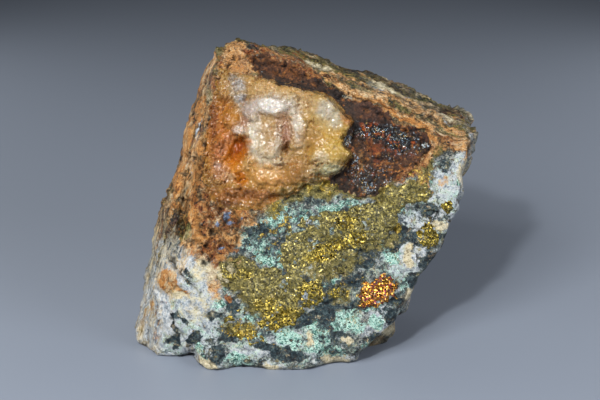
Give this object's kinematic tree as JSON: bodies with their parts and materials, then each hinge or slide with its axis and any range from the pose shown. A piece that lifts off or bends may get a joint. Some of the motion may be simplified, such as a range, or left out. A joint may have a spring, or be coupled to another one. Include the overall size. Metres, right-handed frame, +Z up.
{
  "type": "chalcopyrite mineral specimen",
  "caption": "Broken wedge of ore rock that stands on a flat base; its leaning front face carries brassy chalcopyrite, blocky quartz and a dark goethite hollow.",
  "frame": {"origin": "middle of the bounding box at the level of the flat base", "axes": "+X across the broken front face to the viewer's right, +Y towards the back, +Z up; the front face looks towards -Y and leans back"},
  "size_m": [0.092, 0.052, 0.0795],
  "materials": {
    "host_rock": "rough stone stained tan, rust, green and dark grey",
    "quartz": "milky to amber translucent crystal",
    "chalcopyrite": "granular brassy metallic sulphide",
    "tarnished_chalcopyrite": "granular metallic sulphide with orange and purple tarnish",
    "goethite": "dark brown granular crust with small bright glints"
  },
  "bodies": {
    "root": {"host_rock": "host_rock", "quartz_cluster": "quartz", "chalcopyrite_mass": "chalcopyrite", "chalcopyrite_bleb_upper_right": "chalcopyrite", "chalcopyrite_bleb_lower_right": "chalcopyrite", "chalcopyrite_bleb_middle": "chalcopyrite", "chalcopyrite_bleb_left": "chalcopyrite", "chalcopyrite_bleb_foot": "chalcopyrite", "tarnished_chalcopyrite_bleb": "tarnished_chalcopyrite", "goethite_crust": "goethite"}
  },
  "joints": []
}
